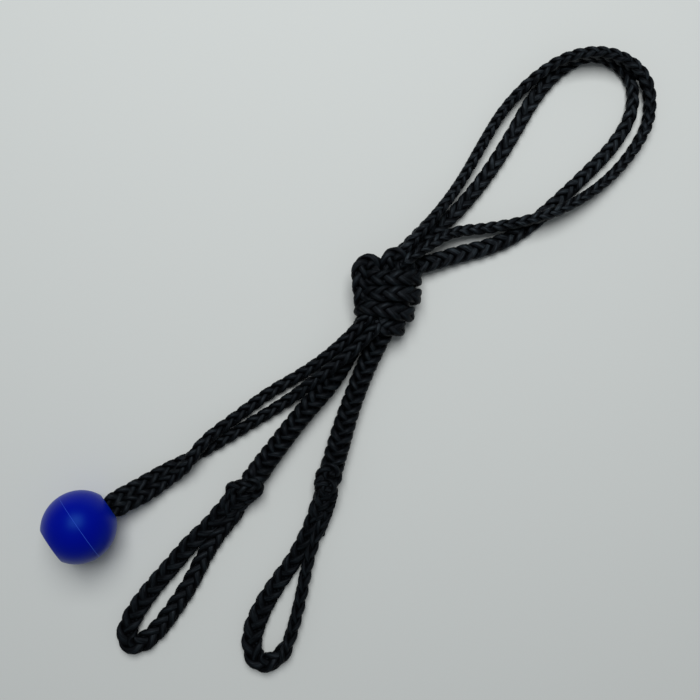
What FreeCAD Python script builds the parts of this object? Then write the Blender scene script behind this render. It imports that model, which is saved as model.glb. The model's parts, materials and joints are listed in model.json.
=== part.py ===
"""Rope bridle with a grip ball, a doubled hand loop and two spliced eyes.

One hollow-braid cord is folded in half. The fold is knotted inside a plastic ball, both strands are
tied in one wrapped knot that leaves a doubled hand loop, and the two ends leave the knot as legs
that end in spliced eyes, with the tail of each end buried inside its own leg.

Millimetres. The origin is on the ground under the middle of the ball. +X runs along the ball's bore
in plan, towards the knot and the hand loop, +Y is to its left and +Z is up.
"""
import FreeCAD
import Part
import math
import os

# ---- cord ----
CORD_DIAMETER = 6.0              # round section of the flattened 8 x 5 mm hollow braid
GROUND_GAP = 0.05
GROUND = CORD_DIAMETER / 2 + GROUND_GAP  # height of the middle of a strand that lies on the ground
CROSSING_GAP = 0.5
OVER = GROUND + CORD_DIAMETER + CROSSING_GAP  # the same for a strand that lies across another

# ---- ball ----
BALL_DIAMETER = 38.0
BALL_TILT = 21.0                 # degrees that the bore dips towards the rope
STRAND_GAP = 0.1                 # between the two strands inside the bore
BORE_CLEARANCE = 0.3             # strands to the bore's wall
BORE_DIAMETER = 2 * CORD_DIAMETER + STRAND_GAP + 2 * BORE_CLEARANCE
MOUTH_ROUND = 1.2                # radius at the bore's mouth
BORE_RUN_OUT = 7.0               # straight stretch of strand outside the bore's mouth
STOPPER_LEDGE = 1.15             # how far the stopper knot overhangs the bore
STOPPER_DIAMETER = BORE_DIAMETER + 2 * STOPPER_LEDGE
STOPPER_LENGTH = 10.5
STOPPER_CLEARANCE = 0.3          # stopper knot to the seat's floor
SEAT_CLEARANCE = 0.7             # stopper knot to the seat's wall
SEAT_DIAMETER = STOPPER_DIAMETER + 2 * SEAT_CLEARANCE  # counterbore that hides the stopper knot
SEAT_DEPTH = 12.0
SEAT_EDGE_ROUND = 0.5
END_FLAT_RIM = 1.8               # width of the flat round the seat, on the far end
END_FLAT_WIDTH = SEAT_DIAMETER + 2 * END_FLAT_RIM

# ---- spliced legs and eyes ----
TAIL_CLEARANCE = 0.1             # buried tail to the leg that swallows it
SLEEVE_WALL = 2.1
SLEEVE_DIAMETER = CORD_DIAMETER + 2 * (TAIL_CLEARANCE + SLEEVE_WALL)
LEG_GROUND = SLEEVE_DIAMETER / 2 + GROUND_GAP
TUCK_SWELLS = (1.6, 4.2, 2.8)    # added to the leg's diameter where its tail is tucked through it
TUCK_NECKS = (-0.4, 1.2, 2.2, -0.8)  # the same before, between and after the swellings
TUCK_PITCH = 9.0

# ---- wrapped knot ----
KNOT_CENTRE = (203.8, 10.6)
KNOT_TURN = 55.5                 # degrees from +X to the knot's own length
WRAP_PITCH = 9.0
WRAP_GAP = 0.2
WRAP_WIDTH = WRAP_PITCH - WRAP_GAP  # flattened cord, along the knot
WRAP_ROUND = 3.2
WRAP_SPANS = ((24.0, 17.0), (31.6, 20.0), (36.0, 22.0), (38.0, 22.0))  # across, high
WRAP_SHIFTS = (-1.6, -1.4, 0.6, 0.0)  # sideways, from the knot's middle
FIRST_WRAP = -18.6               # middle of the lowest wrap, along the knot
CORE_SPAN = (19.0, 11.0)
CORE_HEIGHT = 8.6                # middle of the core above the ground
CORE_ENDS = (-21.5, 15.0)
CROWN_CENTRE = (16.0, 5.0, 10.6)  # along, across and above the ground
CROWN_RADII = (6.5, 11.0, 8.6)
BIGHT_DIAMETER = 9.0
BIGHTS = {                       # along, across, height, radius and turn of each lobe
    "knot_bight_left": (10.5, -9.0, 11.0, 4.6, 78.0),
    "knot_bight_right": (12.5, 2.0, 12.5, 5.0, 100.0),
}

# ---- routes of the cord, chosen by hand ----
LOOP_OUTER = [
    (220, 23, 15), (233, 26, 14.5), (251, 30, 10), (272, 37.5, 3.5), (293, 48, GROUND),
    (313, 57, GROUND), (334, 61, 7), (355, 60, OVER), (375, 49, OVER + 0.5), (385, 28, 8.5),
    (377, 8, GROUND), (356, -3, GROUND), (333, -8, 5), (308, -7, OVER), (287, -1, OVER),
    (268, 8, 5.5), (251, 17.5, 7.5), (234, 18, 13.5), (219, 18, 15.5),
]
LOOP_INNER = [
    (221, 21, 7.5), (233, 24, 7), (251, 23.5, 4), (272, 28, GROUND), (292, 35, GROUND),
    (311, 43.5, GROUND), (330, 53, GROUND), (351, 58, GROUND), (372, 54, GROUND), (381, 33, GROUND),
    (370, 15, GROUND), (350, 6, GROUND), (329, 2, GROUND), (308, -1.5, GROUND), (287, -4, GROUND),
    (267, -2, GROUND), (246, 6, 3.6), (229, 11, 6.4), (216, 16, 8),
]
BALL_LEG_OVER = [
    (190, 5.5, 15.8), (176, 2.5, 15.5), (159, 0, 9), (140, 0, GROUND), (120, 2, GROUND), (99, 1, 3.6),
    (77, 1, OVER), (60, -7, OVER), (46, -9, 5.2), (35, -7.5, 6),
]
BALL_LEG_UNDER = [
    (190, -1.5, 15.5), (173, -5, 15), (156, -6, 14), (141, -7, 10), (124, -7.5, GROUND),
    (106, -6.5, GROUND), (88, -5, GROUND), (69, -3.5, GROUND), (51, -0.5, GROUND), (35, 3.5, 6),
]
NEAR_LEG = [
    (185, 4, 7), (168.5, -4.5, LEG_GROUND), (151, -12.5, LEG_GROUND), (130, -18, LEG_GROUND),
    (102, -27, LEG_GROUND), (86, -32, LEG_GROUND),
]
FAR_LEG = [
    (190, -6, 8), (177, -12.5, 6.5), (155, -27, LEG_GROUND), (137, -41, LEG_GROUND),
    (124, -52, LEG_GROUND),
]
NEAR_EYE = [
    (66, -36.2, 5.5), (54, -39.5, 3.8), (38, -41.5, GROUND), (22, -46, GROUND), (6, -50, GROUND),
    (-12, -56, 3.3), (-22, -63, 3.8), (-20, -73, 3.8), (-8, -73, 3.3), (10, -66, GROUND),
    (27, -59, GROUND), (41, -51, GROUND), (53, -46.2, 3.8), (66.5, -42.6, 5.5),
]
FAR_EYE = [
    (105, -66.2, 5.5), (91.3, -73.2, 3.8), (79, -80, GROUND), (64, -86, GROUND), (49, -93, GROUND),
    (35, -104, 3.3), (31, -117, 3.8), (46, -121.5, 3.8), (61, -109, 3.3), (74, -97, GROUND),
    (85, -86, GROUND), (96.2, -77.9, 3.8), (107.6, -72.2, 5.5),
]
NEAR_TUCK = ((76.5, -35.4), 199.0)  # middle in plan, and the way it points in degrees
FAR_TUCK = ((114.5, -60.0), 221.0)

ARC_SHARE = 0.45                 # of the shorter run, on each side of a bend
UP = FreeCAD.Vector(0, 0, 1)

BALL_CENTRE = FreeCAD.Vector(0, 0, BALL_DIAMETER / 2)
BORE_WAY = FreeCAD.Vector(math.cos(math.radians(BALL_TILT)), 0, -math.sin(math.radians(BALL_TILT)))
BALL_RADIUS = BALL_DIAMETER / 2
BORE_RADIUS = BORE_DIAMETER / 2
FLAT_OFFSET = math.sqrt(BALL_RADIUS**2 - (END_FLAT_WIDTH / 2) ** 2)  # middle to the end flat
MOUTH_OFFSET = math.sqrt(BALL_RADIUS**2 - BORE_RADIUS**2)  # middle to the bore's mouth
SEAT_FLOOR = FLAT_OFFSET - SEAT_DEPTH


def in_bore(along, side=0.0):
    """A point of the bore: along its axis from the ball's middle towards the rope, and sideways."""
    return BALL_CENTRE + BORE_WAY * along + FreeCAD.Vector(0, side, 0)


def in_knot(along, across, height):
    """A point of the knot: along it, across it and above the ground."""
    turn = math.radians(KNOT_TURN)
    x = KNOT_CENTRE[0] + along * math.cos(turn) + across * math.sin(turn)
    y = KNOT_CENTRE[1] + along * math.sin(turn) - across * math.cos(turn)
    return FreeCAD.Vector(x, y, height)


def route_wire(points):
    """Straight runs joined by tangent arcs, with the arcs' radii."""
    points = [FreeCAD.Vector(*p) for p in points]
    edges = []
    radii = []
    start = points[0]
    for before, corner, after in zip(points, points[1:], points[2:]):
        way_in = (corner - before).normalize()
        way_out = (after - corner).normalize()
        half_turn = way_in.getAngle(way_out) / 2
        reach = ARC_SHARE * min(before.distanceToPoint(corner), corner.distanceToPoint(after))
        radius = reach / math.tan(half_turn)
        inward = (way_out - way_in).normalize()
        first = corner - way_in * reach
        last = corner + way_out * reach
        middle = corner + inward * (radius / math.cos(half_turn) - radius)
        edges.append(Part.LineSegment(start, first).toShape())
        edges.append(Part.Arc(first, middle, last).toShape())
        radii.append(radius)
        start = last
    edges.append(Part.LineSegment(start, points[-1]).toShape())
    return Part.Wire(edges), radii


def tube(name, points, diameter):
    """A round tube along a route, checked against its section times its length."""
    wire, radii = route_wire(points)
    start = FreeCAD.Vector(*points[0])
    way = FreeCAD.Vector(*points[1]) - start
    section = Part.Face(Part.Wire(Part.makeCircle(diameter / 2, start, way)))
    solid = wire.makePipe(section)
    expected = section.Area * wire.Length
    print(f"{name}: length {wire.Length:.0f}, volume {solid.Volume / expected:.3f} of expected,"
          f" arc radii {' '.join(f'{r:.0f}' for r in radii)}")
    return solid


def ellipse_bar(along_from, along_to, span, middle):
    """A bar of elliptical section along the knot; middle is its place across it and its height."""
    base = in_knot(along_from, middle[0], middle[1])
    across = in_knot(along_from, middle[0] + 1, middle[1]) - base
    way = in_knot(along_to, middle[0], middle[1]) - base
    flat, high = sorted(span, reverse=True)
    curve = Part.Ellipse(base + across * (flat / 2), base + UP * (high / 2), base)
    return Part.Face(Part.Wire(curve.toShape())).extrude(way)


def ball():
    """Moulded ball with a bore for two strands and a seat for the stopper knot."""
    body = Part.makeSphere(BALL_RADIUS, BALL_CENTRE)
    beyond = in_bore(-FLAT_OFFSET)
    body = body.cut(Part.makeCylinder(BALL_RADIUS, BALL_RADIUS, beyond, BORE_WAY * -1))
    body = body.cut(Part.makeCylinder(SEAT_DIAMETER / 2, SEAT_DEPTH, beyond, BORE_WAY))
    body = body.cut(Part.makeCylinder(BORE_RADIUS, BALL_DIAMETER, in_bore(-SEAT_FLOOR), BORE_WAY))
    body = body.makeFillet(MOUTH_ROUND, bore_rims(body, MOUTH_OFFSET))
    return body.makeFillet(SEAT_EDGE_ROUND, bore_rims(body, -FLAT_OFFSET))


def bore_rims(body, along):
    """The round edges about the bore's axis at a place along it."""
    rims = [e for e in body.Edges if not e.Degenerated and isinstance(e.Curve, Part.Circle)]
    return [e for e in rims if abs((e.Curve.Center - BALL_CENTRE).dot(BORE_WAY) - along) < 0.1]


def stopper_knot():
    """The folded end of the cord, knotted too big for the bore."""
    middle = -(SEAT_FLOOR + STOPPER_CLEARANCE + STOPPER_LENGTH / 2)
    return ellipsoid(in_bore(middle), (STOPPER_LENGTH / 2, STOPPER_DIAMETER / 2), BORE_WAY)


def ellipsoid(centre, radii, way):
    """A round solid with its own radius along a way and another one across it."""
    along, across = radii
    stretch = FreeCAD.Matrix()
    stretch.scale(across, across, along)
    solid = Part.makeSphere(1.0).transformGeometry(stretch)
    solid.Placement = FreeCAD.Placement(centre, FreeCAD.Rotation(UP, way))
    return solid


def ball_leg(name, points, side):
    """One strand from the knot to the stopper; side is the half of the bore that it runs in."""
    offset = side * (CORD_DIAMETER + STRAND_GAP) / 2
    inside = [
        tuple(in_bore(MOUTH_OFFSET + BORE_RUN_OUT, offset)),
        tuple(in_bore(-SEAT_FLOOR - STOPPER_CLEARANCE - STOPPER_LENGTH / 4, offset)),
    ]
    return tube(name, points + inside, CORD_DIAMETER)


def tuck(middle, heading):
    """The lump where a tail is tucked through its own leg: three swellings in a row."""
    length = TUCK_PITCH * len(TUCK_SWELLS)
    radii = [(SLEEVE_DIAMETER + added) / 2 for added in TUCK_NECKS]
    necks = [FreeCAD.Vector(i * TUCK_PITCH - length / 2, r, 0) for i, r in enumerate(radii)]
    first = FreeCAD.Vector(necks[0].x, 0, 0)
    last = FreeCAD.Vector(necks[-1].x, 0, 0)
    edges = [Part.LineSegment(first, necks[0]).toShape()]
    for start, end, added in zip(necks, necks[1:], TUCK_SWELLS):
        top = FreeCAD.Vector((start.x + end.x) / 2, (SLEEVE_DIAMETER + added) / 2, 0)
        edges.append(Part.Arc(start, top, end).toShape())
    edges.append(Part.LineSegment(necks[-1], last).toShape())
    edges.append(Part.LineSegment(last, first).toShape())
    lump = Part.Face(Part.Wire(edges)).revolve(FreeCAD.Vector(), FreeCAD.Vector(1, 0, 0), 360)
    place = FreeCAD.Vector(*middle, (SLEEVE_DIAMETER + max(TUCK_SWELLS)) / 2 + GROUND_GAP)
    lump.Placement = FreeCAD.Placement(place, FreeCAD.Rotation(UP, heading))
    return lump


def knot_wrap(step):
    """One turn of the wrapping cord round the knot's core, resting on the ground."""
    span = WRAP_SPANS[step]
    start = FIRST_WRAP + step * WRAP_PITCH - WRAP_WIDTH / 2
    band = ellipse_bar(start, start + WRAP_WIDTH, span, (WRAP_SHIFTS[step], span[1] / 2))
    band = band.makeFillet(WRAP_ROUND, band.Edges)
    return band.cut(ellipse_bar(start - 1, start + WRAP_WIDTH + 1, CORE_SPAN, (0, CORE_HEIGHT)))


def knot_core():
    """The strands that pass through the wraps, with the crown that the loop comes out of."""
    bar = ellipse_bar(*CORE_ENDS, CORE_SPAN, (0, CORE_HEIGHT))
    along, across, high = CROWN_RADII
    stretch = FreeCAD.Matrix()
    stretch.scale(along, across, high)
    crown = Part.makeSphere(1.0).transformGeometry(stretch)
    crown.Placement = FreeCAD.Placement(in_knot(*CROWN_CENTRE), FreeCAD.Rotation(UP, KNOT_TURN))
    return bar.fuse(crown)


def knot_bight(along, across, height, radius, turn):
    """A lobe where a strand turns back over the top of the knot: half a ring, ends downwards."""
    ring = Part.makeTorus(radius, BIGHT_DIAMETER / 2, FreeCAD.Vector(), UP, -180, 180, 180)
    stand = FreeCAD.Rotation(UP, turn)
    ring.Placement = FreeCAD.Placement(in_knot(along, across, height), stand)
    return ring


pieces = {
    "ball": ball(),
    "ball_stopper_knot": stopper_knot(),
    "ball_leg_over": ball_leg("ball_leg_over", BALL_LEG_OVER, -1),
    "ball_leg_under": ball_leg("ball_leg_under", BALL_LEG_UNDER, 1),
    "loop_strand_outer": tube("loop_strand_outer", LOOP_OUTER, CORD_DIAMETER),
    "loop_strand_inner": tube("loop_strand_inner", LOOP_INNER, CORD_DIAMETER),
    "knot_core": knot_core(),
}
for step in range(len(WRAP_SPANS)):
    pieces[f"knot_wrap_{step + 1}"] = knot_wrap(step)
for name, size in BIGHTS.items():
    pieces[name] = knot_bight(*size)
for side, leg, eye, lump in (
    ("near", NEAR_LEG, NEAR_EYE, NEAR_TUCK),
    ("far", FAR_LEG, FAR_EYE, FAR_TUCK),
):
    sleeve_hole = tube(f"{side}_leg_hole", leg, CORD_DIAMETER + 2 * TAIL_CLEARANCE)
    pieces[f"{side}_leg_sleeve"] = tube(f"{side}_leg_sleeve", leg, SLEEVE_DIAMETER).cut(sleeve_hole)
    pieces[f"{side}_leg_buried_tail"] = tube(f"{side}_leg_buried_tail", leg, CORD_DIAMETER)
    pieces[f"{side}_throat_tuck"] = tuck(*lump)
    pieces[f"{side}_eye_loop"] = tube(f"{side}_eye_loop", eye, CORD_DIAMETER)

os.makedirs("parts", exist_ok=True)
for name, shape in pieces.items():
    print(f"{name}: {len(shape.Solids)} solid, {shape.Volume:.0f} mm3, lowest {shape.BoundBox.ZMin:.2f}")
    shape.exportStep(f"parts/{name}.step")
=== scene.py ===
"""Looks of a rope bridle: a moulded ball, a wrapped knot, a doubled hand loop and two spliced eyes.

All of the rope is one hollow eight-strand braid. Each stretch of it is woven here strand by strand
along its own smooth line, as flat or as round as the stretch lies. Metres and the frame's own axes.
"""
import json
import math

import bpy
import numpy as np
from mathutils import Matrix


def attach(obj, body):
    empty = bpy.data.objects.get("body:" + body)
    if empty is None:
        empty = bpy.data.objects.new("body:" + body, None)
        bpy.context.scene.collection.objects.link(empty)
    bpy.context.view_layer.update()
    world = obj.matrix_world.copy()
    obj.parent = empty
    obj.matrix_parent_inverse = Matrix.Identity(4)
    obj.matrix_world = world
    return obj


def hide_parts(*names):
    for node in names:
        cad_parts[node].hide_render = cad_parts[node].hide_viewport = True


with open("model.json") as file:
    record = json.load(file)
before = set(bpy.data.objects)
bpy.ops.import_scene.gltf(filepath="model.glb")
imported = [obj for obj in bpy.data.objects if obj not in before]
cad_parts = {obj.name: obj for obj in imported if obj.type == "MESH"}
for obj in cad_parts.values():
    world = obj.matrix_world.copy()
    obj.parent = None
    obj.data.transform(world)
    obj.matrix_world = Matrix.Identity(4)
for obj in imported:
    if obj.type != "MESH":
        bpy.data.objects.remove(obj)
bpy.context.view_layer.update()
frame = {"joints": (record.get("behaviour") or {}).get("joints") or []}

bl_info = {
    "name": "Rope bridle",
    "version": (1, 0, 0),
    "blender": (4, 5, 0),
    "location": "View3D > Sidebar > Bridle",
    "description": "Builds a braided rope bridle with a moulded ball, a knot and spliced eyes",
    "category": "Object",
}

MM = 0.001
UP = np.array((0.0, 0.0, 1.0))
SEED = 7

# ---- the ball's own sizes, as in the frame ----
BALL_RADIUS = 19.0 * MM
BALL_CENTRE = np.array((0.0, 0.0, BALL_RADIUS))
BALL_JOINT = next(j for j in frame["joints"] if j["name"] == "ball_turn")
BORE_WAY = np.array(BALL_JOINT["axis"], float)   # from the ball's middle towards the rope
BORE_RADIUS = 6.35 * MM
MOUTH_ROUND = 1.2 * MM
MOUTH_ROUND_DEPTH = 0.9 * MOUTH_ROUND
PARTING_HEIGHT = 0.08 * MM
SEAT_RADIUS = 8.2 * MM
SEAT_DEPTH = 12.0 * MM
SEAT_ROUND = 0.5 * MM
END_FLAT_RADIUS = 10.0 * MM
BALL_SIDES = 128
ROUND_STEPS = 64                 # sections of the outline's large arc

# ---- the knotted fold inside the seat, measured from the ball's middle ----
STOPPER_BACK = 9.9 * MM
STOPPER_RADIUS = 4.6 * MM
STOPPER_RISE = 0.9 * MM
STOPPER_KEYS = [(0.0, 9.0, 5.4, 0, 27), (1.0, 9.0, 5.4, 0, 27)]
STOPPER_TURNS = np.radians(np.linspace(-120.0, 300.0, 90))

# ---- the knot's own frame: along it, across it and up ----
KNOT_CENTRE = np.array((203.8, 10.6, 0.0)) * MM
KNOT_TURN = math.radians(55.5)
KNOT_ALONG = np.array((math.cos(KNOT_TURN), math.sin(KNOT_TURN), 0.0))
KNOT_ACROSS = np.array((math.sin(KNOT_TURN), -math.cos(KNOT_TURN), 0.0))

# ---- lines of the cord ----
LOOP_OUTER = [
    (0.220, 0.023, 0.015), (0.233, 0.026, 0.0145), (0.251, 0.030, 0.010), (0.272, 0.0375, 0.0035),
    (0.293, 0.048, 0.00305), (0.313, 0.057, 0.00305), (0.334, 0.061, 0.007), (0.355, 0.060, 0.0095),
    (0.375, 0.049, 0.010), (0.385, 0.028, 0.0085), (0.377, 0.008, 0.00305), (0.356, -0.003, 0.00305),
    (0.333, -0.008, 0.005), (0.308, -0.007, 0.0095), (0.287, -0.001, 0.0095), (0.268, 0.008, 0.0055),
    (0.251, 0.0175, 0.0075), (0.234, 0.018, 0.0135), (0.219, 0.018, 0.0155),
]
LOOP_INNER = [
    (0.221, 0.021, 0.0075), (0.233, 0.024, 0.007), (0.251, 0.0235, 0.004), (0.272, 0.028, 0.00305),
    (0.292, 0.035, 0.00305), (0.311, 0.0435, 0.00305), (0.330, 0.053, 0.00305),
    (0.351, 0.058, 0.00305), (0.372, 0.054, 0.00305), (0.381, 0.033, 0.00305),
    (0.370, 0.015, 0.00305), (0.350, 0.006, 0.00305), (0.329, 0.002, 0.00305),
    (0.308, -0.0015, 0.00305), (0.287, -0.004, 0.00305), (0.267, -0.002, 0.00305),
    (0.246, 0.006, 0.0036), (0.229, 0.011, 0.0064), (0.216, 0.016, 0.008),
]
BALL_LEG_OVER = [
    (0.190, 0.0055, 0.0148), (0.176, 0.0025, 0.0140), (0.159, 0.0, 0.009), (0.140, 0.0, 0.00305),
    (0.120, 0.002, 0.00305), (0.099, 0.001, 0.0036), (0.077, 0.0005, 0.0095), (0.061, -0.0060, 0.0090),
    (0.047, -0.0062, 0.0040), (0.035, -0.0064, 0.0066), (0.0275, -0.0051, 0.0090),
    (0.02325, -0.0038, 0.01007), (-0.00661, -0.00305, 0.02154),
]
BALL_LEG_UNDER = [
    (0.190, -0.0015, 0.0155), (0.173, -0.005, 0.015), (0.156, -0.006, 0.014),
    (0.141, -0.007, 0.010), (0.124, -0.0075, 0.00305), (0.106, -0.0065, 0.00305),
    (0.088, -0.0055, 0.00305), (0.067, -0.0036, 0.00305), (0.050, -0.0008, 0.00305),
    (0.035, 0.0004, 0.0064), (0.0275, 0.0010, 0.0088), (0.02325, 0.0014, 0.01007),
    (-0.00661, 0.00305, 0.02154),
]
NEAR_LEG = [
    (0.185, 0.004, 0.007), (0.1685, -0.0045, 0.00525), (0.151, -0.0125, 0.00525),
    (0.1295, -0.0176, 0.00525), (0.1014, -0.0266, 0.00525), (0.086, -0.032, 0.00525),
]
FAR_LEG = [
    (0.190, -0.006, 0.008), (0.177, -0.0125, 0.0065), (0.155, -0.027, 0.00525),
    (0.137, -0.041, 0.00525), (0.124, -0.052, 0.00525),
]
NEAR_EYE = [
    (0.0800, -0.0328, 0.0066), (0.0717, -0.0338, 0.0060), (0.0640, -0.0357, 0.0050),
    (0.054, -0.0392, 0.0038), (0.038, -0.0415, 0.00305), (0.022, -0.046, 0.00305),
    (0.006, -0.050, 0.00305), (-0.0113, -0.0565, 0.0033), (-0.0207, -0.0642, 0.0038),
    (-0.0177, -0.0711, 0.0038), (-0.0060, -0.0712, 0.0033), (0.010, -0.066, 0.00305),
    (0.027, -0.059, 0.00305), (0.041, -0.051, 0.00305), (0.053, -0.0462, 0.0038),
    (0.0645, -0.0432, 0.0045), (0.0710, -0.0412, 0.0048),
]
FAR_EYE = [
    (0.1150, -0.0572, 0.0060), (0.1089, -0.0609, 0.0060), (0.1038, -0.0655, 0.0050),
    (0.0973, -0.0705, 0.0042), (0.0891, -0.0756, 0.0036), (0.079, -0.0812, 0.00305),
    (0.064, -0.0865, 0.00305), (0.049, -0.093, 0.00305), (0.0345, -0.1035, 0.0033),
    (0.0305, -0.1175, 0.0038), (0.0457, -0.1206, 0.0038), (0.061, -0.109, 0.0033),
    (0.074, -0.097, 0.00305), (0.085, -0.086, 0.00305), (0.0957, -0.0776, 0.0038),
    (0.1045, -0.0721, 0.0046), (0.1095, -0.0700, 0.0050),
]

# ---- the knot, in millimetres along it, across it and above the ground ----
KNOT_WRAPS = (                   # place along, climb of the left side, outer span, sideways shift
    (-19.2, 1.0, (24.0, 17.0), -2.2),
    (-10.6, 1.5, (33.4, 20.0), -2.0),
    (-2.2, 0.6, (35.0, 22.0), 1.0),
    (6.6, 0.2, (35.6, 22.0), 1.4),
)
WRAP_THICKNESS = 5.8
WRAP_TURNS = np.radians(np.linspace(-110.0, 262.0, 120))     # from below round to below again
WRAP_SWAY = 0.5                  # how far a wrap strays along the knot
WRAP_LUMP = 0.4                  # and how far from an even curve across it
WRAP_KEYS = [(0.0, 9.5, WRAP_THICKNESS, 0, 28), (1.0, 9.5, WRAP_THICKNESS, 0, 28)]
WRAP_STRAND = (0.94, 1.5)
LOBE_KEYS = [(0.0, 8.6, 6.4, 0, 30), (1.0, 8.6, 6.4, 0, 30)]
KNOT_LOBES = {
    "knot_lobe_left": (
        [(-14, -12.6, 7), (-8, -14.0, 12.5), (0, -14.7, 15.5), (7, -15.5, 16.5), (13.4, -15.0, 16.5),
         (15.8, -8.8, 16.5), (11.5, -4.2, 15.5), (4, -2.6, 12)],
        [(0.0, 8.6, 6.4, 0, 30), (0.3, 9.4, 6.4, 0, 30), (1.0, 9.8, 6.4, 0, 30)],
        "knot_bight_left"),
    "knot_lobe_right": (
        [(4, 0, 11), (11.5, -0.6, 16), (18.4, -0.4, 17), (19.2, 6.0, 16.5), (14.5, 11.0, 14), (9, 13, 10)],
        LOBE_KEYS, "knot_bight_right"),
}
KNOT_CORE = [(-21, -1, 8.5), (-8, -1, 9.5), (9, 1, 10.5)]
CORE_KEYS = [(0.0, 17, 11, 0, 60), (0.4, 26, 15, 0, 60), (1.0, 29, 16, 0, 60)]
HEART_KEYS = [(0.0, 9.0, 7.0, 0, 27), (1.0, 8.0, 6.0, 0, 27)]
KNOT_HEART = (
    [(0.220, 0.023, 0.015), (0.211, 0.015, 0.013), (0.199, 0.0075, 0.0125), (0.190, 0.0055, 0.0148)],
    [(0.219, 0.018, 0.0155), (0.209, 0.011, 0.013), (0.198, 0.003, 0.0125), (0.190, -0.0015, 0.0155)],
    [(0.221, 0.021, 0.0075), (0.210, 0.013, 0.007), (0.197, 0.007, 0.007), (0.185, 0.004, 0.007)],
    [(0.216, 0.016, 0.008), (0.206, 0.006, 0.0075), (0.197, -0.001, 0.0075), (0.190, -0.006, 0.008)],
)

# ---- how each stretch lies ----
# Keys are share of the length, width, thickness, roll and lay, in mm and degrees; strands are the
# share of its room that each strand fills across, and its thickness in mm.
LOOP_KEYS = {
    "outer": [(0.0, 8.6, 6.6, 60, 25), (0.08, 8.6, 6.4, 90, 25), (1.0, 8.6, 6.4, 90, 25)],
    "inner": [(0.0, 9.2, 5.6, 0, 28), (0.32, 9.2, 5.4, 0, 28), (0.42, 7.4, 5.8, 0, 28),
              (0.52, 7.2, 5.8, 0, 28), (0.6, 8.2, 5.6, 0, 28), (0.8, 9.4, 5.4, 0, 28),
              (0.9, 10.6, 5.6, 0, 28), (1.0, 10.2, 6.0, 0, 28)],
}
LOOP_STRAND = (0.94, 1.6)
BALL_LEG_KEYS = [
    (0.0, 7.8, 5.8, 0, 30), (0.12, 7.8, 5.8, 0, 30), (0.55, 7.6, 5.8, 0, 30),
    (0.70, 8.4, 5.4, 0, 28), (0.80, 9.0, 5.4, 0, 28), (0.86, 9.8, 5.6, 0, 28),
    (0.888, 6.4, 6.0, 0, 28), (1.0, 5.6, 5.8, 0, 28),
]
LEG_KEYS = {
    "near": [(0.0, 12.6, 12.2, 0, 23), (0.7, 13.0, 12.4, 0, 23), (1.0, 14.4, 12.4, 0, 23)],
    "far": [(0.0, 12.6, 12.2, 0, 23), (0.5, 12.8, 12.4, 0, 23), (0.78, 14.2, 12.6, 0, 23),
            (1.0, 14.4, 12.4, 0, 23)],
}
LEG_STRAND = (0.78, 2.4)
EYE_KEYS = {
    "near": [(0.0, 9.4, 5.8, 0, 33), (0.12, 10.8, 5.6, 0, 33), (0.35, 11.6, 5.4, 0, 33),
             (0.48, 12.6, 5.8, 0, 33), (0.62, 11.6, 5.4, 0, 33), (0.85, 10.4, 5.6, 0, 33),
             (1.0, 8.6, 5.8, 0, 33)],
    "far": [(0.0, 7.4, 5.8, 0, 33), (0.2, 10.2, 5.6, 0, 33), (0.33, 11.8, 5.4, 0, 33),
            (0.42, 13.0, 5.6, 0, 33), (0.52, 12.0, 6.2, 0, 33), (0.58, 10.4, 7.4, 30, 33),
            (0.64, 9.0, 7.8, 90, 33), (0.85, 8.6, 7.4, 90, 33), (1.0, 8.0, 6.6, 90, 33)],
}
NECK_KEYS = [(0.0, 14.2, 12.2, 0, 23), (0.5, 11.8, 12.0, 0, 24), (1.0, 9.0, 7.4, 0, 28)]
BAND_KEYS = [(0.0, 7.0, 5.0, 0, 24), (0.2, 8.2, 5.6, 0, 24), (0.7, 8.6, 5.6, 0, 24),
             (1.0, 6.6, 4.8, 0, 30)]
THROATS = {
    "near_throat_neck": (
        [(0.0938, -0.0297, 0.0056), (0.0866, -0.0316, 0.0066), (0.0792, -0.0345, 0.0066),
         (0.0711, -0.0372, 0.0054), (0.0639, -0.0395, 0.0044)],
        NECK_KEYS, "near_throat_tuck"),
    "near_throat_band": (
        [(0.0730, -0.0347, 0.0040), (0.0713, -0.0317, 0.0065), (0.0754, -0.0283, 0.0095),
         (0.0820, -0.0319, 0.0132), (0.0879, -0.0344, 0.0118), (0.0856, -0.0382, 0.0085),
         (0.0803, -0.0381, 0.0080), (0.0754, -0.0387, 0.0060), (0.0707, -0.0408, 0.0050),
         (0.0657, -0.0425, 0.0042), (0.0603, -0.0446, 0.0036)],
        BAND_KEYS, None),
    "far_throat_neck": (
        [(0.1274, -0.0488, 0.0056), (0.1228, -0.0526, 0.0066), (0.1168, -0.0580, 0.0066),
         (0.1103, -0.0632, 0.0056), (0.1023, -0.0690, 0.0044)],
        NECK_KEYS, "far_throat_tuck"),
    "far_throat_band_upper": (
        [(0.1135, -0.0623, 0.0050), (0.1138, -0.0562, 0.0070), (0.1187, -0.0502, 0.0100),
         (0.1249, -0.0494, 0.0124), (0.1257, -0.0543, 0.0102), (0.1223, -0.0581, 0.0070),
         (0.1173, -0.0586, 0.0040)],
        BAND_KEYS, None),
    "far_throat_band_lower": (
        [(0.1107, -0.0624, 0.0050), (0.1131, -0.0564, 0.0092), (0.1184, -0.0547, 0.0120),
         (0.1198, -0.0583, 0.0116), (0.1170, -0.0625, 0.0085), (0.1127, -0.0659, 0.0070),
         (0.1089, -0.0689, 0.0055), (0.1043, -0.0727, 0.0042), (0.0990, -0.0771, 0.0036)],
        BAND_KEYS, None),
}

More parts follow.
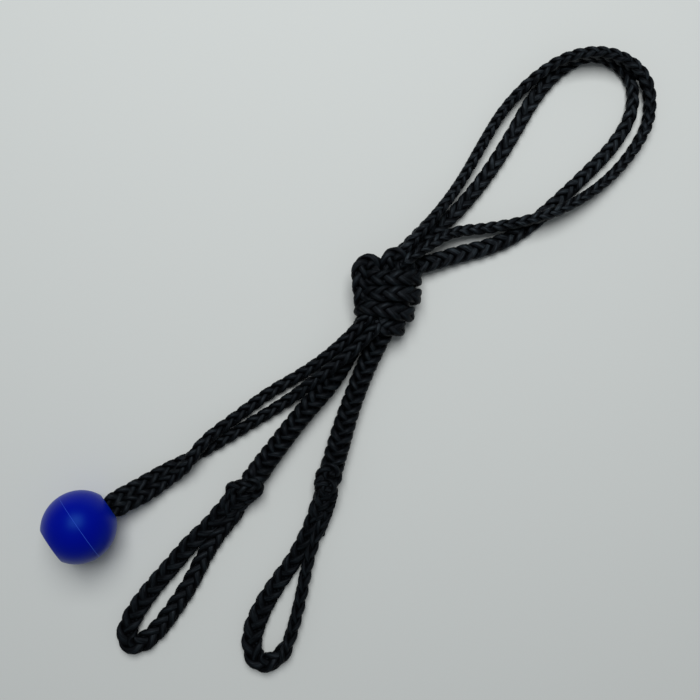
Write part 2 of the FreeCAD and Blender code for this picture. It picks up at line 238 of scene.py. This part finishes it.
# ---- the stage ----
CAMERA_PLACE = (0.1693, -0.0040)
CAMERA_TURN = math.radians(34.5)
SENSOR_WIDTH = 36.0              # mm
LAMP_PLACE = np.array((0.44, 0.40, 1.0))
LAMP_AIM = np.array((0.17, -0.02, 0.0))
LAMP_SIZE = 0.7
LAMP_POWER = 10.4                # W
ROOM_LIGHT = 0.17
BOARD_HALF = 1.6


def unit(vectors):
    """Vectors brought to length one."""
    return vectors / np.linalg.norm(vectors, axis=-1, keepdims=True)


def linear(hex_colour):
    """A linear colour with alpha from an sRGB hex value."""
    parts = [int(hex_colour[i:i + 2], 16) / 255 for i in (1, 3, 5)]
    return tuple(p / 12.92 if p <= 0.04045 else ((p + 0.055) / 1.055) ** 2.4 for p in parts) + (1.0,)


class Line:
    """A smooth line through space: its points, how far along it each is, and a frame at each."""

    def __init__(self, points, level=UP):
        """Level is the way that stays upright across the line, as nearly as the line allows."""
        self.points = np.asarray(points, float)
        runs = np.linalg.norm(np.diff(self.points, axis=0), axis=1)
        self.at = np.concatenate(([0.0], np.cumsum(runs)))
        self.length = float(self.at[-1])
        self.ways = unit(np.gradient(self.points, axis=0))
        self.rights = unit(np.cross(self.ways, np.broadcast_to(level, self.ways.shape)))
        self.ups = np.cross(self.rights, self.ways)

    def frame(self, along):
        """Points, rights and ups at distances along the line, straight on beyond its ends."""
        inside = np.clip(along, 0.0, self.length)
        values = []
        for rows in (self.points, self.ways, self.rights, self.ups):
            values.append(np.stack([np.interp(inside, self.at, rows[:, i]) for i in range(3)], -1))
        points, ways, rights, ups = values
        points = points + ways * (along - inside)[..., None]
        return points, unit(rights), unit(ups)


def spline_line(name, route):
    """The smooth line that a cord with this route follows, read from its own spline."""
    curve = bpy.data.curves.new(name, "CURVE")
    curve.dimensions = "3D"
    curve.resolution_u = 24
    spline = curve.splines.new("NURBS")
    spline.points.add(len(route) - 1)
    for point, place in zip(spline.points, route):
        point.co = (*place, 1.0)
    spline.order_u = 3
    spline.use_endpoint_u = True
    holder = bpy.data.objects.new(name, curve)
    mesh = bpy.data.meshes.new_from_object(holder)
    line = Line([v.co[:] for v in mesh.vertices])
    bpy.data.objects.remove(holder)
    bpy.data.curves.remove(curve)
    bpy.data.meshes.remove(mesh)
    return line


SIDE = unit(np.cross(UP, BORE_WAY))      # level across the bore
TOP = np.cross(BORE_WAY, SIDE)           # and upward across it


def in_knot(along, across, height):
    """A point of the knot, from millimetres along it, across it and above the ground."""
    return KNOT_CENTRE + (KNOT_ALONG * along + KNOT_ACROSS * across + UP * height) * MM


# ---- the braid ----
# A strand's section: places across its width and through its thickness, as shares of each.
STRAND_SECTION = np.array((
    (-0.5, -0.05), (-0.37, 0.29), (-0.13, 0.48), (0.13, 0.48), (0.37, 0.29), (0.5, -0.05),
    (0.3, -0.44), (-0.3, -0.44),
))
STRANDS_EACH_WAY = 4
CROSS_OFFSET = 1 / 16            # of a turn, between the strands that run one way and the other
STEP = 1.0 * MM                  # between a strand's sections, along the cord
CROSSING_SHARPNESS = 1.0         # how quickly a strand dives under its neighbours
CROWN_SWELL = 0.06               # how much wider a strand is where it lies over
WANDER = 0.006                   # share of a turn that a strand strays
LINING_SIDES = 12
LINING_DEPTH = 1.7               # strand thicknesses below the cord's surface


def section_place(turn, straight, across, depth):
    """Sideways and upward places on a flat cord's section, a depth below its surface.

    A turn of 0 is the right edge, a quarter is the middle of the top and so on. Straight is half
    of the flat part's width and across half of the cord's thickness; equal turns take equal
    lengths of the surface.
    """
    whole = 4 * straight + 2 * math.pi * across
    run = np.mod(turn, 1.0) * whole
    quarter = whole / 4
    upper = run < 2 * quarter
    run = np.where(upper, run, whole - run)          # the lower half mirrors the upper one
    right = run < quarter
    run = np.where(right, run, 2 * quarter - run)    # and the left half the right one
    arc = math.pi / 2 * across
    bend = np.minimum(run, arc) / across
    radius = np.maximum(across - depth, 0.05 * MM)
    x = straight + radius * np.cos(bend) - np.maximum(run - arc, 0.0)
    z = radius * np.sin(bend)
    return np.where(right, x, -x), np.where(upper, z, -z)


def over_under(turn):
    """One where a strand lies over, minus one where it lies under, smoothly between them."""
    wave = np.sin(4 * math.pi * turn)
    return np.tanh(CROSSING_SHARPNESS * wave) / math.tanh(CROSSING_SHARPNESS)


def weave(name, line, keys, apex=1, strand=(0.86, 2.0), noise=0.03):
    """One stretch of hollow braid along a line, strand by strand, over a lining that stands for the braid's
    inside and is painted in the deepest shade.

    Keys are (share of the length, width, thickness, roll, lay): the cord's own width, thickness
    and lay in mm, and its roll in degrees. Apex is 1 where the braid's arrows point along the line
    and -1 where they point back. Strand is the share of its room that each strand fills across, and
    its thickness in mm. Noise is how unevenly the strands fill that room.
    """
    rng = np.random.default_rng(SEED + len(name))
    count = max(8, int(round(line.length / STEP)))
    along = np.linspace(0.0, line.length, count + 1)
    keys = np.array(keys, float)
    shares = along / line.length
    width, thick, roll, lay = (np.interp(shares, keys[:, 0], keys[:, i]) for i in range(1, 5))
    angle = np.concatenate(([0.0], np.cumsum(np.diff(along) / (lay[1:] * MM))))
    deep = strand[1] * MM
    verts, faces, uvs = [], [], []
    ring = len(STRAND_SECTION)

    def settings_at(s):
        at = np.clip(s, 0.0, line.length) / line.length
        return (np.interp(at, shares, v) for v in (width, thick, roll))

    def place(s, turns, depth):
        w, t, r = settings_at(s)
        across = t * MM / 2
        x, z = section_place(turns, np.maximum(w * MM / 2 - across, 0.0), across, depth)
        points, rights, ups = line.frame(s)
        r = np.radians(r)
        sideways = x * np.cos(r) - z * np.sin(r)
        upward = x * np.sin(r) + z * np.cos(r)
        reach = np.abs(np.sin(r)) * np.maximum(w - t, 0.0) * MM / 2 + across
        points[..., 2] += np.maximum(reach - points[..., 2], 0.0)      # nothing sinks into the floor
        return points + rights * sideways[..., None] + ups * upward[..., None]

    for way in (1, -1):
        for k in range(STRANDS_EACH_WAY):
            stops = 9 + count // 12
            wander = np.interp(along, np.linspace(0.0, line.length, stops), rng.normal(0.0, WANDER, stops))
            turns = way * angle + k / STRANDS_EACH_WAY + (1 - way) / 2 * CROSS_OFFSET + wander
            lift = way * apex * over_under(turns)
            w, t, _ = settings_at(along)
            around = (2 * np.maximum(w - t, 0.0) + math.pi * t) * MM
            slope = np.arctan2(around / (lay * MM), 1.0)
            room = around / STRANDS_EACH_WAY * np.cos(slope)
            swell = 1 + rng.normal(0.0, noise) + CROWN_SWELL * lift
            across = STRAND_SECTION[:, 0][None, :] * (strand[0] * room * swell)[:, None]
            rise = STRAND_SECTION[:, 1][None, :] * deep
            s = along[:, None] - way * across * np.sin(slope)[:, None]
            p = turns[:, None] + across * np.cos(slope)[:, None] / around[:, None]
            depth = deep * (1.0 - 0.5 * lift[:, None]) - rise
            base = len(verts) * (count + 1) * ring
            verts.append(place(s, p, depth).reshape(-1, 3))
            rows = np.arange(count)[:, None] * ring
            cols = np.arange(ring)[None, :]
            nxt = (cols + 1) % ring
            quads = np.stack((rows + cols, rows + nxt, rows + ring + nxt, rows + ring + cols), -1)
            faces.append(quads.reshape(-1, 4)[:, ::way] + base)
            # Every strand has its own stretch of the streaks.
            run = np.repeat(along / np.cos(slope) / MM, ring)
            share = np.tile(STRAND_SECTION[:, 0], count + 1)
            uvs.append(np.stack((run + 100 * k + 1000 * way, share), -1))
    base = sum(len(v) for v in verts)
    steps = max(4, count // 2)
    s = np.repeat(np.linspace(0.0, line.length, steps + 1), LINING_SIDES)
    p = np.tile(np.arange(LINING_SIDES) / LINING_SIDES, steps + 1)
    verts.append(place(s, p, np.full(len(s), LINING_DEPTH * deep)))
    rows = np.arange(steps)[:, None] * LINING_SIDES
    cols = np.arange(LINING_SIDES)[None, :]
    nxt = (cols + 1) % LINING_SIDES
    quads = np.stack((rows + cols, rows + nxt, rows + LINING_SIDES + nxt, rows + LINING_SIDES + cols), -1)
    faces.append(quads.reshape(-1, 4) + base)
    # The lining sits at a strand's very edge in the across coordinate, so it takes the darkest tone:
    # painted shade for the hollow inside.
    uvs.append(np.stack((s / MM, np.full(len(s), 0.5)), -1))
    return mesh_piece(name, np.vstack(verts), np.vstack(faces), np.vstack(uvs))


def mesh_piece(name, verts, faces, uvs=None):
    """A smooth-shaded mesh object from arrays, with its own flat coordinates where it has them."""
    mesh = bpy.data.meshes.new(name)
    mesh.from_pydata(verts.tolist(), [], faces.tolist())
    if uvs is not None:
        layer = mesh.uv_layers.new(name="strand")
        corners = np.empty(len(mesh.loops), np.int32)
        mesh.loops.foreach_get("vertex_index", corners)
        layer.data.foreach_set("uv", uvs[corners].ravel().astype(np.float32))
    mesh.polygons.foreach_set("use_smooth", [True] * len(mesh.polygons))
    mesh.update()
    piece = bpy.data.objects.new(name, mesh)
    bpy.context.scene.collection.objects.link(piece)
    return piece


def add_node(tree, kind, settings=None, links=None, at=(0, 0)):
    """One node with its settings and links: by socket name or place, or by property name."""
    node = tree.nodes.new(kind)
    node.location = at
    for key, value in (settings or {}).items():
        if isinstance(key, int) or key in node.inputs:
            node.inputs[key].default_value = value
        else:
            setattr(node, key, value)
    for key, source in (links or {}).items():
        tree.links.new(source, node.inputs[key])
    return node


def new_material(name):
    """An empty node material and its tree."""
    material = bpy.data.materials.new(name)
    material.use_nodes = True
    material.node_tree.nodes.clear()
    return material, material.node_tree


def braided_polypropylene(name, colours):
    """Black multifilament polypropylene: soft, slightly waxy yarns with a cool sheen, partly painted into
    the colour as lighter streaks.
    """
    material, tree = new_material(name)
    yarn = add_node(tree, "ShaderNodeUVMap", {"uv_map": "strand"}, at=(-1300, 0))
    # Each streak stands for a bundle of filaments 6 mm long and a fifth of the strand wide; the
    # filaments themselves are near 0.03 mm and are drawn coarser so that they still show. Their lighter
    # tones are partly the filaments' own uneven tone and partly painted sheen.
    along_yarn = add_node(tree, "ShaderNodeMapping", {"Scale": (0.16, 5.0, 1.0)},
                          {"Vector": yarn.outputs["UV"]}, (-1100, 0))
    filaments = add_node(tree, "ShaderNodeTexNoise", {"Scale": 1.0, "Detail": 4.0, "Roughness": 0.65},
                         {"Vector": along_yarn.outputs["Vector"]}, (-900, 0))
    place = add_node(tree, "ShaderNodeTexCoord", at=(-1300, -300))
    patches = add_node(tree, "ShaderNodeTexNoise", {"Scale": 140.0, "Detail": 3.0},
                       {"Vector": place.outputs["Object"]}, (-900, -300))
    # The yarn's crown is painted lighter and its edges, where they turn down between their neighbours,
    # darker: painted light and shade.
    parts = add_node(tree, "ShaderNodeSeparateXYZ", links={"Vector": yarn.outputs["UV"]}, at=(-1100, 300))
    edge = add_node(tree, "ShaderNodeMath", {"operation": "ABSOLUTE"}, {0: parts.outputs["Y"]}, (-900, 300))
    painted_edge_shade = add_node(tree, "ShaderNodeMapRange",
                     {"From Min": 0.1, "From Max": 0.5, "To Min": -0.65, "To Max": -1.2},
                     {"Value": edge.outputs["Value"]}, (-700, 300))
    # Random patches of tone, with the painted edge shade added to them.
    shade = add_node(tree, "ShaderNodeMath", {"operation": "MULTIPLY_ADD", 1: 0.6},
                     {0: patches.outputs["Fac"], 2: painted_edge_shade.outputs["Result"]}, (-700, -100))
    tone = add_node(tree, "ShaderNodeMath", {"operation": "MULTIPLY_ADD", 1: 1.8},
                    {0: filaments.outputs["Fac"], 2: shade.outputs["Value"]}, (-500, 0))
    colour = add_node(tree, "ShaderNodeValToRGB", links={"Fac": tone.outputs["Value"]}, at=(-300, 0))
    colour.color_ramp.elements[0].position = 0.33
    colour.color_ramp.elements[0].color = linear(colours[0])
    colour.color_ramp.elements[1].position = 0.9
    colour.color_ramp.elements[1].color = linear(colours[1])
    gloss = add_node(tree, "ShaderNodeMapRange", {"To Min": 0.7, "To Max": 0.38},
                     {"Value": tone.outputs["Value"]}, (-300, -250))
    bump = add_node(tree, "ShaderNodeBump", {"Strength": 0.8, "Distance": 0.4 * MM},
                    {"Height": filaments.outputs["Fac"]}, (-300, -500))
    shader = add_node(tree, "ShaderNodeBsdfPrincipled",
                      {"IOR": 1.49, "Specular IOR Level": 0.16, "Specular Tint": linear("#C9D6E6")},
                      {"Base Color": colour.outputs["Color"], "Roughness": gloss.outputs["Result"],
                       "Normal": bump.outputs["Normal"]}, (0, 0))
    add_node(tree, "ShaderNodeOutputMaterial", links={"Surface": shader.outputs["BSDF"]}, at=(300, 0))
    return material


def moulded_plastic(name, colour):
    """Injection-moulded polypropylene, satin blue: an even colour, broad soft glints, fine orange peel."""
    material, tree = new_material(name)
    place = add_node(tree, "ShaderNodeTexCoord", at=(-900, 0))
    grain = add_node(tree, "ShaderNodeTexNoise", {"Scale": 1400.0, "Detail": 2.0},
                     {"Vector": place.outputs["Object"]}, (-700, -200))
    clouds = add_node(tree, "ShaderNodeTexNoise", {"Scale": 120.0, "Detail": 3.0},
                      {"Vector": place.outputs["Object"]}, (-700, 100))
    tint = add_node(tree, "ShaderNodeHueSaturation", {"Color": linear(colour)}, at=(-250, 100))
    spread = add_node(tree, "ShaderNodeMapRange", {"To Min": 0.94, "To Max": 1.06},
                      {"Value": clouds.outputs["Fac"]}, (-450, 100))
    tree.links.new(spread.outputs["Result"], tint.inputs["Value"])
    bump = add_node(tree, "ShaderNodeBump", {"Strength": 0.08, "Distance": 0.05 * MM},
                    {"Height": grain.outputs["Fac"]}, (-250, -200))
    shader = add_node(tree, "ShaderNodeBsdfPrincipled",
                      {"IOR": 1.22, "Roughness": 0.38, "Specular IOR Level": 1.0,
                       "Sheen Weight": 0.1, "Sheen Roughness": 0.5, "Sheen Tint": linear("#0088FF"),
                       "Specular Tint": linear("#58B0FF")},
                      {"Base Color": tint.outputs["Color"], "Normal": bump.outputs["Normal"]}, (0, 0))
    add_node(tree, "ShaderNodeOutputMaterial", links={"Surface": shader.outputs["BSDF"]}, at=(300, 0))
    return material


def pale_sheet(colour):
    """Matt painted board: pale, with a faint tooth that only softens the shadows."""
    material, tree = new_material("matt_painted_board")
    place = add_node(tree, "ShaderNodeTexCoord", at=(-700, 0))
    tooth = add_node(tree, "ShaderNodeTexNoise", {"Scale": 900.0},
                     {"Vector": place.outputs["Object"]}, (-500, 0))
    bump = add_node(tree, "ShaderNodeBump", {"Strength": 0.05, "Distance": 0.05 * MM},
                    {"Height": tooth.outputs["Fac"]}, (-250, 0))
    shader = add_node(tree, "ShaderNodeBsdfPrincipled",
                      {"Base Color": linear(colour), "Roughness": 0.8, "Specular IOR Level": 0.2},
                      {"Normal": bump.outputs["Normal"]}, (0, 0))
    add_node(tree, "ShaderNodeOutputMaterial", links={"Surface": shader.outputs["BSDF"]}, at=(300, 0))
    return material


def finish_piece(piece, body, slot, material, *nodes):
    """Gives a piece its finish, the body that it rides on and the frame's parts that it stands for."""
    piece.data.materials.append(material)
    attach(piece, body)
    if nodes:
        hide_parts(*nodes)


def cord_material(context, paler_loop=False):
    """The braid's finish, made when the first piece needs it; the hand loop gets a paler copy of it."""
    name = "paler_black_polypropylene" if paler_loop else "braided_black_polypropylene"
    colours = context.scene.bridle_braid
    light = colours.paler_loop_hex if paler_loop else colours.light_hex
    return bpy.data.materials.get(name) or braided_polypropylene(name, (colours.shadow_hex, light))


# ---- settings ----
class BallSettings(bpy.types.PropertyGroup):
    """What a user may change on the ball."""

    colour_hex: bpy.props.StringProperty(
        name="Plastic", description="The ball's sRGB colour", default="#00068E")
    parting_width: bpy.props.FloatProperty(
        name="Parting line", description="Width of the mould's fine raised line",
        default=0.4 * MM, unit="LENGTH")
    parting_hex: bpy.props.StringProperty(
        name="Parting tint", description="The fine line's sRGB colour", default="#2E50C8")


class BraidSettings(bpy.types.PropertyGroup):
    """What a user may change on the braid."""

    shadow_hex: bpy.props.StringProperty(
        name="Dark yarn", description="sRGB colour between the filaments", default="#010102")
    light_hex: bpy.props.StringProperty(
        name="Light yarn", description="sRGB colour on top of the filaments", default="#191F23")
    paler_loop_hex: bpy.props.StringProperty(
        name="Paler loop yarn", description="sRGB colour on top of the filaments of the hand loop",
        default="#2A3136")


class StageSettings(bpy.types.PropertyGroup):
    """What a user may change about the stage."""

    floor_hex: bpy.props.StringProperty(
        name="Board", description="The floor's sRGB colour", default="#D6DAD8")
    camera_height: bpy.props.FloatProperty(
        name="Camera height", description="The camera's height above the floor",
        default=0.411, unit="LENGTH")
    lens: bpy.props.FloatProperty(
        name="Lens", description="Focal length in millimetres", default=38.5)


# ---- operators ----
class BRIDLE_OT_stage(bpy.types.Operator):
    """Lay the pale board and set the soft lamp and the camera above it"""

    bl_idname = "bridle.stage"
    bl_label = "Stage"

    def execute(self, context):
        settings = context.scene.bridle_stage
        corners = np.array([(-1, -1, 0), (1, -1, 0), (1, 1, 0), (-1, 1, 0)]) * BOARD_HALF
        floor = mesh_piece("board", corners, np.array([[0, 1, 2, 3]]))
        floor.data.materials.append(pale_sheet(settings.floor_hex))
        world = bpy.data.worlds.new("soft_room")
        world.use_nodes = True
        background = world.node_tree.nodes["Background"]
        background.inputs["Color"].default_value = linear("#EEF4FA")
        background.inputs["Strength"].default_value = ROOM_LIGHT
        context.scene.world = world
        light = bpy.data.lights.new("window", "AREA")
        light.size = LAMP_SIZE
        light.energy = LAMP_POWER
        lamp = bpy.data.objects.new("window", light)
        lamp.location = LAMP_PLACE
        aim = LAMP_AIM - LAMP_PLACE
        lamp.rotation_euler = (
            math.atan2(math.hypot(aim[0], aim[1]), -aim[2]), 0.0,
            math.atan2(aim[1], aim[0]) - math.pi / 2)
        context.scene.collection.objects.link(lamp)
        camera = bpy.data.cameras.new("overhead")
        camera.lens = settings.lens
        camera.sensor_width = SENSOR_WIDTH
        holder = bpy.data.objects.new("overhead", camera)
        holder.location = (*CAMERA_PLACE, settings.camera_height)
        holder.rotation_euler = (0.0, 0.0, -CAMERA_TURN)
        context.scene.collection.objects.link(holder)
        context.scene.camera = holder
        context.scene.view_settings.view_transform = "Standard"
        return {"FINISHED"}


def ball_profile():
    """The ball's outline from the seat's floor round to the bore: (along the bore, radius)."""
    flat_at = -math.sqrt(BALL_RADIUS**2 - END_FLAT_RADIUS**2)
    mouth_at = math.sqrt(BALL_RADIUS**2 - BORE_RADIUS**2)
    floor_at = flat_at + SEAT_DEPTH
    outline = [(floor_at, BORE_RADIUS), (floor_at, SEAT_RADIUS)]
    for i in range(5):
        a = math.pi / 2 * i / 4
        outline.append((flat_at + SEAT_ROUND * (1 - math.sin(a)),
                        SEAT_RADIUS + SEAT_ROUND * (1 - math.cos(a))))
    first = math.atan2(END_FLAT_RADIUS, flat_at)
    last = math.atan2(BORE_RADIUS + MOUTH_ROUND, mouth_at)
    for i in range(ROUND_STEPS + 1):
        a = first + (last - first) * i / ROUND_STEPS
        outline.append((BALL_RADIUS * math.cos(a), BALL_RADIUS * math.sin(a)))
    edge = outline[-1]
    for i in range(1, 7):
        a = math.pi / 2 * i / 6
        outline.append((edge[0] - MOUTH_ROUND_DEPTH * (1 - math.cos(a)),
                        edge[1] - MOUTH_ROUND * math.sin(a)))
    outline.append((floor_at, BORE_RADIUS))
    return np.array(outline)


class BRIDLE_OT_ball(bpy.types.Operator):
    """Mould the ball: bore, seat, end flat and the fine line where the mould's halves met"""

    bl_idname = "bridle.ball"
    bl_label = "Ball"

    def execute(self, context):
        settings = context.scene.bridle_ball
        outline = ball_profile()
        turns = np.arange(BALL_SIDES) / BALL_SIDES * 2 * math.pi
        rim = SIDE[None, :] * np.cos(turns)[:, None] + TOP[None, :] * np.sin(turns)[:, None]
        along, radius = outline[:, 0][:, None, None], outline[:, 1][:, None, None]
        verts = BALL_CENTRE + along * BORE_WAY + radius * rim[None]
        count = len(outline) - 1
        rows = np.arange(count)[:, None] * BALL_SIDES
        cols = np.arange(BALL_SIDES)[None, :]
        nxt = (cols + 1) % BALL_SIDES
        quads = np.stack((rows + cols, rows + BALL_SIDES + cols, rows + BALL_SIDES + nxt, rows + nxt), -1)
        quads[-1] = np.stack((rows[-1] + cols[0], cols[0], nxt[0], rows[-1] + nxt[0]), -1)
        verts = verts.reshape(-1, 3)[:count * BALL_SIDES]
        ball = mesh_piece("ball_shell", verts, quads.reshape(-1, 4))
        plastic = moulded_plastic("moulded_blue_polypropylene", settings.colour_hex)
        finish_piece(ball, "ball", "ball_plastic", plastic, "ball")
        half = settings.parting_width / 2
        crest = BALL_RADIUS + PARTING_HEIGHT
        strip = [(-half, BALL_RADIUS - PARTING_HEIGHT), (-half / 2, crest), (half / 2, crest),
                 (half, BALL_RADIUS - PARTING_HEIGHT)]
        trim = 0.7 - 0.3 * np.cos(turns)             # pared finer on one side than on the other
        verts = [BALL_CENTRE + BORE_WAY * (along * trim)[:, None] + rim * radius for along, radius in strip]
        rows = np.arange(len(strip) - 1)[:, None] * BALL_SIDES
        quads = np.stack((rows + cols, rows + BALL_SIDES + cols, rows + BALL_SIDES + nxt, rows + nxt), -1)
        seam = mesh_piece("ball_parting_line", np.concatenate(verts), quads.reshape(-1, 4))
        # The parting ridge is coloured a paler blue than the ball.
        flash = moulded_plastic("pale_parting_polypropylene", settings.parting_hex)
        finish_piece(seam, "ball", "ball_plastic", flash)
        return {"FINISHED"}


class BRIDLE_OT_hand_loop(bpy.types.Operator):
    """Weave the two cords of the hand loop"""

    bl_idname = "bridle.hand_loop"
    bl_label = "Hand loop"

    def execute(self, context):
        for side, route in (("outer", LOOP_OUTER), ("inner", LOOP_INNER)):
            line = spline_line(f"loop_{side}_line", route)
            cord = weave(f"loop_{side}", line, LOOP_KEYS[side], -1, LOOP_STRAND)
            finish_piece(cord, "cord", "cord_braid", cord_material(context, True), f"loop_strand_{side}")
        return {"FINISHED"}


class BRIDLE_OT_ball_legs(bpy.types.Operator):
    """Weave the two strands that run from the knot into the ball"""

    bl_idname = "bridle.ball_legs"
    bl_label = "Ball legs"

    def execute(self, context):
        for name, route in (("ball_leg_over", BALL_LEG_OVER), ("ball_leg_under", BALL_LEG_UNDER)):
            line = spline_line(name + "_line", route)
            cord = weave(name + "_braid", line, BALL_LEG_KEYS, -1)
            finish_piece(cord, "cord", "cord_braid", cord_material(context), name)
        return {"FINISHED"}


class BRIDLE_OT_legs(bpy.types.Operator):
    """Weave the two swollen legs with their tails inside"""

    bl_idname = "bridle.legs"
    bl_label = "Spliced legs"

    def execute(self, context):
        for side, route in (("near", NEAR_LEG), ("far", FAR_LEG)):
            line = spline_line(side + "_leg_line", route)
            cord = weave(side + "_leg_braid", line, LEG_KEYS[side], 1, LEG_STRAND)
            finish_piece(cord, "cord", "cord_braid", cord_material(context),
                         side + "_leg_sleeve", side + "_leg_buried_tail")
        return {"FINISHED"}


class BRIDLE_OT_eyes(bpy.types.Operator):
    """Weave the two spliced eyes"""

    bl_idname = "bridle.eyes"
    bl_label = "Eyes"

    def execute(self, context):
        for side, route in (("near", NEAR_EYE), ("far", FAR_EYE)):
            line = spline_line(side + "_eye_line", route)
            cord = weave(side + "_eye_braid", line, EYE_KEYS[side])
            finish_piece(cord, "cord", "cord_braid", cord_material(context), side + "_eye_loop")
        return {"FINISHED"}


def wrap_line(along, skew, span, shift, number):
    """One turn round the knot, from below and back: where it is along the knot, how far its left
    side climbs, its outer span across and upward, its sideways shift and which wrap it is."""
    wide, high = ((outer - WRAP_THICKNESS) / 2 for outer in span)
    rows = [
        (along - skew * math.cos(t) + WRAP_SWAY * math.sin(2 * t + 1.9 * number),
         shift + (wide + WRAP_LUMP * math.sin(3 * t + number)) * math.cos(t),
         span[1] / 2 + high * math.sin(t))
        for t in WRAP_TURNS
    ]
    points = np.array([in_knot(*row) for row in rows])
    return Line(points, points - in_knot(along, shift, span[1] / 2))


class BRIDLE_OT_knot(bpy.types.Operator):
    """Tie the knot: four wraps, two lobes over the top of it and the strands inside"""

    bl_idname = "bridle.knot"
    bl_label = "Wrapped knot"

    def execute(self, context):
        material = cord_material(context)
        for number, (along, skew, span, shift) in enumerate(KNOT_WRAPS, 1):
            line = wrap_line(along, skew, span, shift, number)
            wrap = weave(f"knot_wrap_{number}_braid", line, WRAP_KEYS, 1, WRAP_STRAND, noise=0.07)
            finish_piece(wrap, "cord", "cord_braid", material, f"knot_wrap_{number}")
        core = spline_line("knot_core_line", [in_knot(*p) for p in KNOT_CORE])
        filling = weave("knot_core_braid", core, CORE_KEYS, 1, (1.0, 2.0))
        finish_piece(filling, "cord", "cord_braid", material, "knot_core")
        for name, (route, keys, node) in KNOT_LOBES.items():
            line = spline_line(name + "_line", [in_knot(*p) for p in route])
            lobe = weave(name, line, keys)
            finish_piece(lobe, "cord", "cord_braid", material, node)
        for number, route in enumerate(KNOT_HEART, 1):
            line = spline_line(f"knot_heart_{number}_line", route)
            heart = weave(f"knot_heart_{number}", line, HEART_KEYS)
            finish_piece(heart, "cord", "cord_braid", material)
        return {"FINISHED"}


class BRIDLE_OT_throats(bpy.types.Operator):
    """Weave the throats, where each tail is tucked through its own leg"""

    bl_idname = "bridle.throats"
    bl_label = "Splice throats"

    def execute(self, context):
        material = cord_material(context)
        for name, (route, keys, node) in THROATS.items():
            line = spline_line(name + "_line", route)
            piece = weave(name, line, keys)
            finish_piece(piece, "cord", "cord_braid", material, *([node] if node else []))
        return {"FINISHED"}


class BRIDLE_OT_stopper(bpy.types.Operator):
    """Knot the folded end of the cord inside the ball's seat"""

    bl_idname = "bridle.stopper"
    bl_label = "Stopper knot"

    def execute(self, context):
        middle = BALL_CENTRE - BORE_WAY * STOPPER_BACK
        points = np.array([
            middle + (SIDE * math.cos(t) + TOP * math.sin(t)) * STOPPER_RADIUS
            + BORE_WAY * STOPPER_RISE * math.cos(t)
            for t in STOPPER_TURNS])
        knot = weave("stopper_knot_braid", Line(points, points - middle), STOPPER_KEYS)
        finish_piece(knot, "cord", "cord_braid", cord_material(context), "ball_stopper_knot")
        return {"FINISHED"}


class BRIDLE_PT_panel(bpy.types.Panel):
    """Lists the bridle's pieces in the sidebar"""

    bl_label = "Rope bridle"
    bl_idname = "BRIDLE_PT_panel"
    bl_space_type = "VIEW_3D"
    bl_region_type = "UI"
    bl_category = "Bridle"

    def draw(self, context):
        for settings in ("bridle_stage", "bridle_ball", "bridle_braid"):
            group = getattr(context.scene, settings)
            for prop in group.bl_rna.properties:
                if not prop.is_readonly and prop.identifier != "name":
                    self.layout.prop(group, prop.identifier)
        for operator in OPERATORS:
            self.layout.operator(operator.bl_idname)


SETTINGS = {"bridle_stage": StageSettings, "bridle_ball": BallSettings, "bridle_braid": BraidSettings}
OPERATORS = (
    BRIDLE_OT_stage, BRIDLE_OT_ball, BRIDLE_OT_hand_loop, BRIDLE_OT_ball_legs, BRIDLE_OT_legs,
    BRIDLE_OT_eyes, BRIDLE_OT_knot, BRIDLE_OT_throats, BRIDLE_OT_stopper,
)


def register():
    """Adds the settings, the operators and the panel."""
    for name, group in SETTINGS.items():
        bpy.utils.register_class(group)
        setattr(bpy.types.Scene, name, bpy.props.PointerProperty(type=group))
    for operator in OPERATORS:
        bpy.utils.register_class(operator)
    bpy.utils.register_class(BRIDLE_PT_panel)


def unregister():
    """Takes them away again, last first."""
    bpy.utils.unregister_class(BRIDLE_PT_panel)
    for operator in reversed(OPERATORS):
        bpy.utils.unregister_class(operator)
    for name, group in reversed(SETTINGS.items()):
        delattr(bpy.types.Scene, name)
        bpy.utils.unregister_class(group)


def main():
    """Builds every piece."""
    register()
    for operator in OPERATORS:
        group, name = operator.bl_idname.split(".")
        getattr(getattr(bpy.ops, group), name)()


if __name__ == "__main__":
    main()
